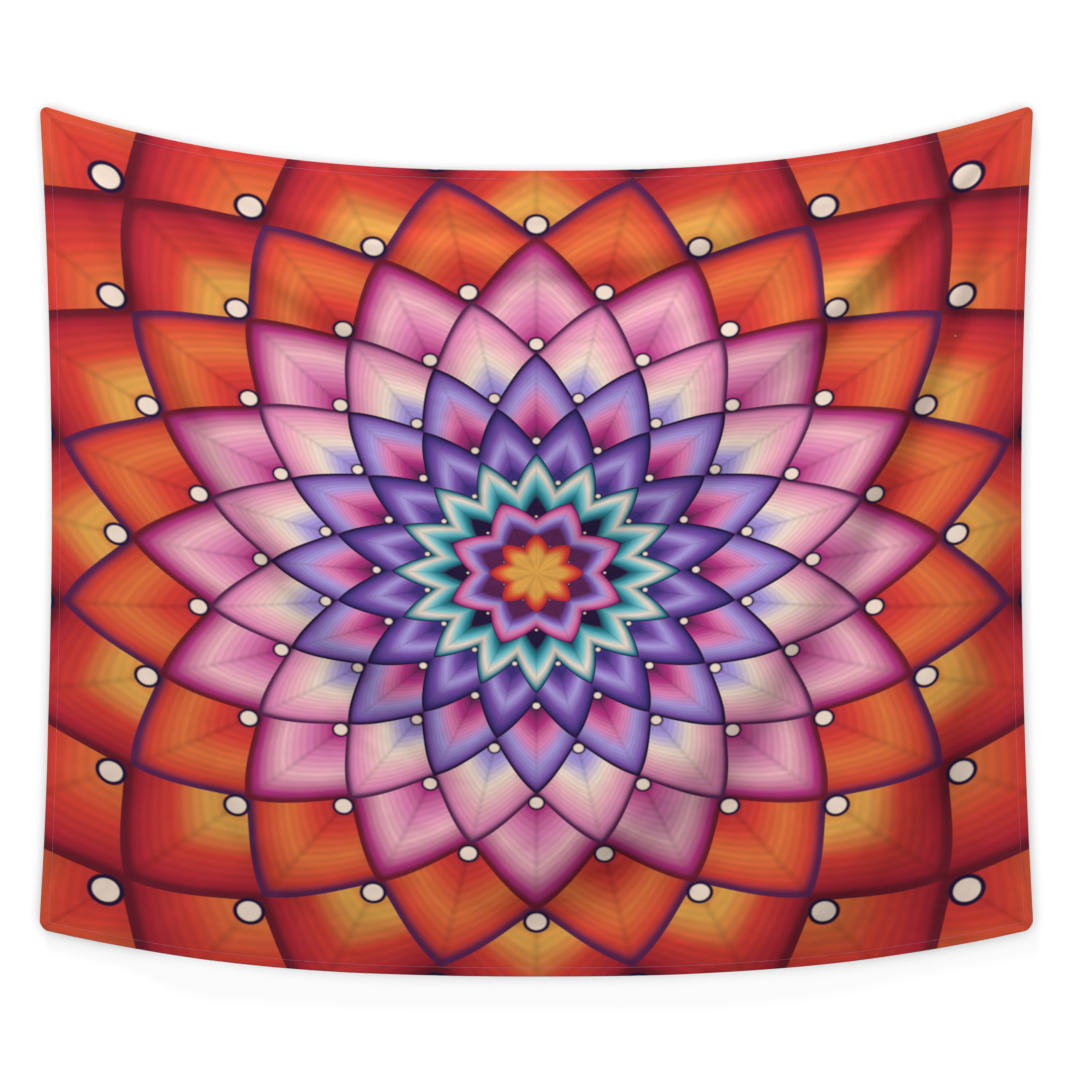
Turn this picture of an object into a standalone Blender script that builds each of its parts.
"""Tapestry wall hanging: a printed cloth with turned hems, hung by two hidden loops on two push pins.

The wall is the plane Y = 0 and the printed face looks towards -Y. The origin lies on the wall,
midway between the two pins and level with their axes. All sizes are in metres.
"""

import math

import bpy
from mathutils import Vector

# Cloth, as cut and finished.
CLOTH_WIDTH = 1.549
CLOTH_HEIGHT = 1.270
CLOTH_THICKNESS = 0.0005
CORNER_RADIUS = 0.013

# Cloth, as it hangs: how far each edge leaves the straight line between its corners.
TOP_SAG = 0.100
BOTTOM_DROOP = 0.072
SIDE_BOW = 0.018
SAG_POWER = 2.5
FOLD_DEPTH = 0.018
FOLD_WAVES = 3
CORNER_FLAT_LENGTH = 0.070
FOLD_GROW_LENGTH = 0.400
FOLD_CREST_SOFTNESS = 0.120

# Turned hems and their thread.
HEM_WIDTH = 0.015
HEM_THICKNESS = 0.0010
THREAD_WIDTH = 0.0006
THREAD_HEIGHT = 0.0004
STITCH_INSET = 0.002

# Push pins. Each barrel has a flange on the wall, a waist for the loop and a head.
PIN_PAST_HEM = 0.0070
PIN_INSET_DOWN = 0.016
FLANGE_RADIUS = 0.0045
FLANGE_LENGTH = 0.0015
WAIST_RADIUS = 0.0030
WAIST_LENGTH = 0.0070
HEAD_RADIUS = 0.0050
HEAD_LENGTH = 0.0040
PIN_EDGE_ROUND = 0.0006
NEEDLE_RADIUS = 0.0006
NEEDLE_IN_BARREL = 0.0090
NEEDLE_IN_WALL = 0.0110
NEEDLE_POINT = 0.0030

# Hanging loops of round cord, each sewn down under a patch.
CORD_RADIUS = 0.00125
LOOP_SIDE_CLEARANCE = 0.0012
LOOP_LENGTH = 0.0390
LOOP_SEWN_LENGTH = 0.0140
LOOP_END_SPACING = 0.0040
PATCH_WIDTH = 0.0160
PATCH_THICKNESS = 0.0008
PATCH_OVERLAP = 0.0010

# Care label, caught in the left hem near the bottom.
LABEL_LENGTH = 0.055
LABEL_WIDTH = 0.030
LABEL_THICKNESS = 0.0006
LABEL_ABOVE_BOTTOM = 0.160
LABEL_HINGE_GAP = 0.0008

# Gaps and fineness.
TOUCH_GAP = 0.0003
HEAD_CLEARANCE = 0.0006
CELLS_ACROSS = 30
CELLS_DOWN = 24
CORNER_CELLS = 3
ROUND_SIDES = 16
LEG_POINTS = 6
CURVE_STEP = 0.5e-3
LABEL_CELLS_ACROSS = 3
LABEL_CELLS_DOWN = 5
SHARP_EDGE_ANGLE = math.radians(35)
PIVOT_SHOWN_SIZE = 0.02

# Worked out from the values above.
TIP_SPAN = CLOTH_WIDTH - 8 * TOP_SAG**2 / (3 * CLOTH_WIDTH)
PIN_INSET_ACROSS = HEM_WIDTH + PIN_PAST_HEM
PIN_X = TIP_SPAN / 2 - PIN_INSET_ACROSS
PIN_LENGTH = FLANGE_LENGTH + WAIST_LENGTH + HEAD_LENGTH
HEM_FRONT = CLOTH_THICKNESS + TOUCH_GAP
HEM_BACK = HEM_FRONT + HEM_THICKNESS
THREAD_FRONT = HEM_BACK + TOUCH_GAP
THREAD_BACK = THREAD_FRONT + THREAD_HEIGHT
STANDOFF = PIN_LENGTH + HEAD_CLEARANCE + THREAD_BACK
WAIST_MIDDLE = FLANGE_LENGTH + WAIST_LENGTH / 2
PIVOT = Vector((0, -WAIST_MIDDLE, WAIST_RADIUS + TOUCH_GAP + CORD_RADIUS))
EYE_RADIUS = HEAD_RADIUS + LOOP_SIDE_CLEARANCE + CORD_RADIUS


def clear_scene():
    for item in list(bpy.data.objects):
        bpy.data.objects.remove(item, do_unlink=True)


def material(name, colour, roughness, metallic=0.0):
    made = bpy.data.materials.new(name)
    made.use_nodes = True
    shader = made.node_tree.nodes["Principled BSDF"]
    shader.inputs["Base Color"].default_value = (*colour, 1)
    shader.inputs["Roughness"].default_value = roughness
    shader.inputs["Metallic"].default_value = metallic
    return made


def add_object(name, points, faces, finish, parent=None):
    """A mesh object at the origin, or one whose own origin is its parent's place."""
    home = parent.matrix_world.translation if parent else Vector()
    mesh = bpy.data.meshes.new(name)
    mesh.from_pydata([Vector(point) - home for point in points], [], faces)
    mesh.materials.append(finish)
    made = bpy.data.objects.new(name, mesh)
    bpy.context.scene.collection.objects.link(made)
    made.parent = parent
    return made


def add_pivot(name, place, parent=None):
    """An empty on a joint's axis, which carries the pieces that turn about it."""
    made = bpy.data.objects.new(name, None)
    made.empty_display_size = PIVOT_SHOWN_SIZE
    bpy.context.scene.collection.objects.link(made)
    made.parent = parent
    made.location = place - (parent.matrix_world.translation if parent else Vector())
    bpy.context.view_layer.update()
    return made


# The hung surface. A place on the cloth is (across, down): metres to the right of the middle
# and metres below the top edge, measured on the flat cloth.


def rounded(across, down):
    """Pulls a place in a corner square of the cloth in, so that the corner becomes a quarter round."""
    side = 1 if across >= 0 else -1
    end = 1 if down >= CLOTH_HEIGHT / 2 else -1
    past_side = side * across - (CLOTH_WIDTH / 2 - CORNER_RADIUS)
    past_end = end * (down - CLOTH_HEIGHT / 2) - (CLOTH_HEIGHT / 2 - CORNER_RADIUS)
    if past_side <= 0 or past_end <= 0:
        return across, down
    a = past_side / CORNER_RADIUS
    b = past_end / CORNER_RADIUS
    pull_side = past_side * (1 - math.sqrt(1 - b * b / 2))
    pull_end = past_end * (1 - math.sqrt(1 - a * a / 2))
    return across - side * pull_side, down - end * pull_end


def fold_depth(across, down):
    """Folds that run like rays from each top corner, grow with the distance from it and end at the edges."""
    side = CLOTH_WIDTH / 2
    softness = FOLD_CREST_SOFTNESS
    softened = side * (math.hypot(across, softness) - softness) / (math.hypot(side, softness) - softness)
    inward = max(side - softened, 0)
    ray = math.atan2(down, inward) / (math.pi / 2)
    fade = (math.hypot(inward, down) - CORNER_FLAT_LENGTH) / FOLD_GROW_LENGTH
    fade = min(max(fade, 0), 1)
    fade = fade * fade * (3 - 2 * fade)
    return FOLD_DEPTH * fade * (1 - math.cos(2 * math.pi * FOLD_WAVES * ray)) / 2


def hung_front(across, down):
    """The place in the room of a point on the printed face."""
    s = across / (CLOTH_WIDTH / 2)
    t = down / CLOTH_HEIGHT
    sag = 1 - abs(s) ** SAG_POWER
    x = s * (TIP_SPAN / 2 - SIDE_BOW * 4 * t * (1 - t))
    y = -STANDOFF - fold_depth(across, down)
    z = PIN_INSET_DOWN - down - sag * ((1 - t) * TOP_SAG + t * BOTTOM_DROOP)
    return Vector((x, y, z))


def hung_point(across, down, depth):
    """A point that lies depth behind the printed face, square to it."""
    step = CURVE_STEP
    along = hung_front(across + step, down) - hung_front(across - step, down)
    fall = hung_front(across, down + step) - hung_front(across, down - step)
    behind = fall.cross(along).normalized()
    if behind.y < 0:
        behind = -behind
    return hung_front(across, down) + behind * depth


def stations(length, cells):
    """Places from 0 to length: close together over each rounded corner, even between the hems."""
    corner = [CORNER_RADIUS * k / CORNER_CELLS for k in range(CORNER_CELLS + 1)]
    inner = length - 2 * HEM_WIDTH
    middle = [HEM_WIDTH + inner * k / cells for k in range(cells + 1)]
    places = corner + middle + [length - place for place in corner]
    places.sort()
    return [place for k, place in enumerate(places) if k == 0 or place - places[k - 1] > 1e-6]


ACROSS = [place - CLOTH_WIDTH / 2 for place in stations(CLOTH_WIDTH, CELLS_ACROSS)]
DOWN = stations(CLOTH_HEIGHT, CELLS_DOWN)


def between(places, low, high):
    """The ends low and high, with the cloth's own stations between them."""
    return [low] + [place for place in places if low + 1e-6 < place < high - 1e-6] + [high]


def add_layer(name, across_places, down_places, near, far, finish, parent):
    """A closed layer of cloth or thread, from near to far behind the printed face."""
    wide = len(across_places)
    tall = len(down_places)
    points = []
    for depth in (near, far):
        for down in down_places:
            points += [hung_point(*rounded(across, down), depth) for across in across_places]
    back = wide * tall
    faces = []
    for row in range(tall - 1):
        for column in range(wide - 1):
            a = row * wide + column
            b, c, d = a + 1, a + wide + 1, a + wide
            faces += [(a, d, c), (a, c, b)]
            faces += [(back + a, back + c, back + d), (back + a, back + b, back + c)]
    rim = list(range(wide))
    rim += [row * wide + wide - 1 for row in range(1, tall)]
    rim += [(tall - 1) * wide + column for column in range(wide - 2, -1, -1)]
    rim += [row * wide for row in range(tall - 2, 0, -1)]
    for k, a in enumerate(rim):
        b = rim[(k + 1) % len(rim)]
        faces += [(a, b, back + b), (a, back + b, back + a)]
    return add_object(name, points, faces, finish, parent)


def add_cloth(hanging):
    """The printed panel, its four turned hems and the thread that holds each hem."""
    printed = material("printed_cloth", (0.62, 0.12, 0.28), 0.85)
    plain = material("hem_cloth", (0.72, 0.42, 0.52), 0.9)
    thread = material("hem_thread", (0.80, 0.55, 0.65), 0.7)
    side = CLOTH_WIDTH / 2
    add_layer("printed_panel", ACROSS, DOWN, 0, CLOTH_THICKNESS, printed, hanging)

    lower = CLOTH_HEIGHT - HEM_WIDTH
    for name, start, end in (("top_hem", 0, HEM_WIDTH), ("bottom_hem", lower, CLOTH_HEIGHT)):
        add_layer(name, ACROSS, between(DOWN, start, end), HEM_FRONT, HEM_BACK, plain, hanging)
    clear = HEM_WIDTH + TOUCH_GAP
    side_down = between(DOWN, clear, CLOTH_HEIGHT - clear)
    for name, start, end in (
        ("left_hem", -side, -side + HEM_WIDTH),
        ("right_hem", side - HEM_WIDTH, side),
    ):
        add_layer(name, between(ACROSS, start, end), side_down, HEM_FRONT, HEM_BACK, plain, hanging)

    seam = HEM_WIDTH - STITCH_INSET
    seam_across = between(ACROSS, -side + seam, side - seam)
    seam_far = CLOTH_HEIGHT - seam
    for name, start in (
        ("top_hem_stitching", seam - THREAD_WIDTH),
        ("bottom_hem_stitching", seam_far),
    ):
        rows = [start, start + THREAD_WIDTH]
        add_layer(name, seam_across, rows, THREAD_FRONT, THREAD_BACK, thread, hanging)
    seam_down = between(DOWN, clear + STITCH_INSET, CLOTH_HEIGHT - clear - STITCH_INSET)
    for name, start in (
        ("left_hem_stitching", -side + seam - THREAD_WIDTH),
        ("right_hem_stitching", side - seam),
    ):
        columns = [start, start + THREAD_WIDTH]
        add_layer(name, columns, seam_down, THREAD_FRONT, THREAD_BACK, thread, hanging)


def cloth_back_at(x, z):
    """The Y of the panel's back at a place in the room near a top corner, where it hangs plumb."""
    across = x * CLOTH_WIDTH / TIP_SPAN
    sag = 1 - abs(2 * across / CLOTH_WIDTH) ** SAG_POWER
    down = PIN_INSET_DOWN - z - sag * TOP_SAG
    return hung_front(across, down).y + CLOTH_THICKNESS


def loop_route(pin_x):
    """The cord's middle line: up from one sewn end, over the pin's waist and down to the other."""
    top = PIVOT.z
    foot = top - LOOP_LENGTH
    flat_top = foot + LOOP_SEWN_LENGTH
    sewn_y = cloth_back_at(pin_x, flat_top) + TOUCH_GAP + CORD_RADIUS
    foot_y = cloth_back_at(pin_x, foot) + TOUCH_GAP + CORD_RADIUS
    near = LOOP_END_SPACING / 2
    shoulder = top - EYE_RADIUS
    leg = []
    for k in range(LEG_POINTS // 2):
        share = k / (LEG_POINTS // 2 - 1)
        leg.append((near, foot_y + (sewn_y - foot_y) * share, foot + (flat_top - foot) * share))
    for k in range(1, LEG_POINTS + 1):
        share = k / LEG_POINTS
        ease = share * share * (3 - 2 * share)
        out = near + (EYE_RADIUS - near) * ease
        leg.append((out, sewn_y + (PIVOT.y - sewn_y) * ease, flat_top + (shoulder - flat_top) * share))
    for k in range(1, LEG_POINTS):
        turn = math.pi / 2 * k / LEG_POINTS
        leg.append((EYE_RADIUS * math.cos(turn), PIVOT.y, shoulder + EYE_RADIUS * math.sin(turn)))
    route = [Vector((pin_x - out, y, z)) for out, y, z in leg]
    route.append(Vector((pin_x, PIVOT.y, top)))
    route += [Vector((pin_x + out, y, z)) for out, y, z in reversed(leg)]
    return route


def add_loop(name, pin_x, hanging):
    cord = material(name + "_cord", (0.86, 0.84, 0.80), 0.85)
    curve = bpy.data.curves.new(name, "CURVE")
    curve.dimensions = "3D"
    curve.bevel_depth = CORD_RADIUS
    curve.bevel_resolution = 2
    curve.use_fill_caps = True
    spline = curve.splines.new("POLY")
    route = loop_route(pin_x)
    spline.points.add(len(route) - 1)
    home = hanging.matrix_world.translation
    for point, place in zip(spline.points, route):
        point.co = (*(place - home), 1)
    curve.materials.append(cord)
    made = bpy.data.objects.new(name, curve)
    bpy.context.scene.collection.objects.link(made)
    made.parent = hanging


def add_patch(name, pin_x, hanging):
    """The sewn patch that covers the loop's two ends."""
    foot = PIVOT.z - LOOP_LENGTH
    bottom = foot - PATCH_OVERLAP
    top = foot + LOOP_SEWN_LENGTH - PATCH_OVERLAP
    lift = 2 * TOUCH_GAP + 2 * CORD_RADIUS
    points = []
    for layer in (lift, lift + PATCH_THICKNESS):
        for x, z in ((-1, bottom), (1, bottom), (1, top), (-1, top)):
            y = cloth_back_at(pin_x, z) + layer
            points.append((pin_x + x * PATCH_WIDTH / 2, y, z))
    faces = [(0, 1, 2, 3), (7, 6, 5, 4)]
    faces += [(k, k + 4, (k + 1) % 4 + 4, (k + 1) % 4) for k in range(4)]
    finish = material(name + "_twill", (0.84, 0.80, 0.78), 0.9)
    return add_object(name, points, faces, finish, hanging)


def turned(name, profile, centre, finish):
    """A closed solid turned about an axis along Y. The profile is (radius, y) from pole to pole."""
    points = []
    rings = []
    for radius, y in profile:
        if radius == 0:
            rings.append([len(points)])
            points.append((centre.x, y, centre.z))
            continue
        rings.append(list(range(len(points), len(points) + ROUND_SIDES)))
        for k in range(ROUND_SIDES):
            turn = 2 * math.pi * k / ROUND_SIDES
            points.append((centre.x + radius * math.cos(turn), y, centre.z + radius * math.sin(turn)))
    faces = []
    for first, second in zip(rings, rings[1:]):
        for k in range(ROUND_SIDES):
            after = (k + 1) % ROUND_SIDES
            if len(first) == 1:
                faces.append((first[0], second[k], second[after]))
            elif len(second) == 1:
                faces.append((first[k], second[0], first[after]))
            else:
                faces.append((first[k], second[k], second[after], first[after]))
    made = add_object(name, points, faces, finish)
    made.data.shade_smooth()
    made.data.set_sharp_from_angle(angle=SHARP_EDGE_ANGLE)
    return made


def add_pin(side, pin_x):
    """A push pin: a plastic barrel with a blind hole, and the steel needle in it."""
    centre = Vector((pin_x, 0, 0))
    soft = PIN_EDGE_ROUND
    waist_start = -FLANGE_LENGTH
    waist_end = waist_start - WAIST_LENGTH
    hole = NEEDLE_RADIUS + TOUCH_GAP
    profile = [
        (0, -PIN_LENGTH),
        (HEAD_RADIUS - soft, -PIN_LENGTH),
        (HEAD_RADIUS, -PIN_LENGTH + soft),
        (HEAD_RADIUS, waist_end - soft),
        (HEAD_RADIUS - soft, waist_end),
        (WAIST_RADIUS, waist_end),
        (WAIST_RADIUS, waist_start),
        (FLANGE_RADIUS - soft, waist_start),
        (FLANGE_RADIUS, waist_start + soft / 2),
        (FLANGE_RADIUS, -soft / 2),
        (FLANGE_RADIUS - soft / 2, 0),
        (hole, 0),
        (hole, -NEEDLE_IN_BARREL - TOUCH_GAP),
        (0, -NEEDLE_IN_BARREL - TOUCH_GAP),
    ]
    plastic = material(side + "_pin_plastic", (0.90, 0.90, 0.88), 0.35)
    turned(side + "_pin_barrel", profile, centre, plastic)
    steel = material(side + "_pin_steel", (0.70, 0.71, 0.73), 0.25, 1.0)
    needle = [
        (0, -NEEDLE_IN_BARREL),
        (NEEDLE_RADIUS, -NEEDLE_IN_BARREL),
        (NEEDLE_RADIUS, NEEDLE_IN_WALL - NEEDLE_POINT),
        (0, NEEDLE_IN_WALL),
    ]
    turned(side + "_pin_needle", needle, centre, steel)


def add_label(hanging):
    """The care label. Its pivot lies along the edge that the left hem's seam holds."""
    fold_edge = -CLOTH_WIDTH / 2 + HEM_WIDTH + LABEL_HINGE_GAP
    low = CLOTH_HEIGHT - LABEL_ABOVE_BOTTOM
    high = low - LABEL_LENGTH
    near = CLOTH_THICKNESS + TOUCH_GAP
    middle = near + LABEL_THICKNESS / 2
    place = (hung_point(fold_edge, low, middle) + hung_point(fold_edge, high, middle)) / 2
    pivot = add_pivot("care_label_pivot", place, hanging)
    finish = material("label_satin", (0.93, 0.92, 0.90), 0.45)
    across = [fold_edge + LABEL_WIDTH * k / LABEL_CELLS_ACROSS for k in range(LABEL_CELLS_ACROSS + 1)]
    down = [high + LABEL_LENGTH * k / LABEL_CELLS_DOWN for k in range(LABEL_CELLS_DOWN + 1)]
    return add_layer("care_label", across, down, near, near + LABEL_THICKNESS, finish, pivot)


def main():
    clear_scene()
    hanging = add_pivot("hanging_pivot", PIVOT)
    add_cloth(hanging)
    for side, pin_x in (("left", -PIN_X), ("right", PIN_X)):
        add_pin(side, pin_x)
        add_loop(side + "_hanging_loop", pin_x, hanging)
        add_patch(side + "_loop_patch", pin_x, hanging)
    add_label(hanging)


main()
